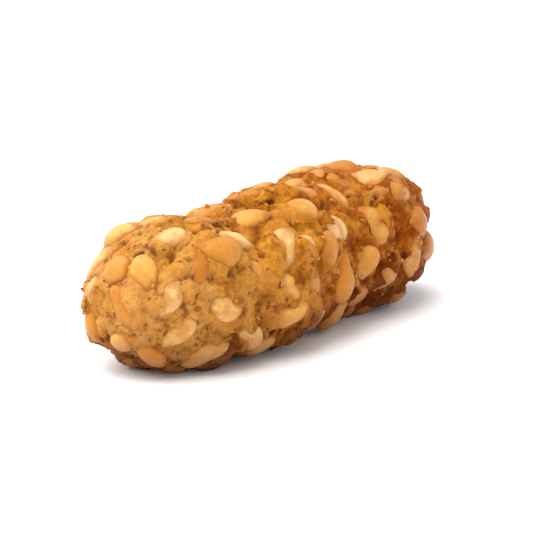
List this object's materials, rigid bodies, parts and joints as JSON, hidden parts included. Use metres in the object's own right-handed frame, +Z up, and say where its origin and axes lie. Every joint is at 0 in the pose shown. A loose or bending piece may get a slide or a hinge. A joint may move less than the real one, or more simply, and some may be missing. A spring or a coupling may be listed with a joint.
{
  "type": "sesame stick",
  "caption": "Short craggy stick of golden fried dough with blunt rounded ends, a slight S-bend and hulled sesame seeds stuck all over it.",
  "frame": {"origin": "on the table, under the middle of the stick's bounding box", "axes": "+X along the stick, towards its slimmer end; +Z up as it lies; +Y to the left of +X"},
  "size_m": [0.025, 0.0096, 0.0079],
  "materials": {
    "baked_crust": "golden fried crust under a thin uneven glaze"
  },
  "bodies": {
    "root": {"sesame_stick": "baked_crust"}
  },
  "joints": []
}
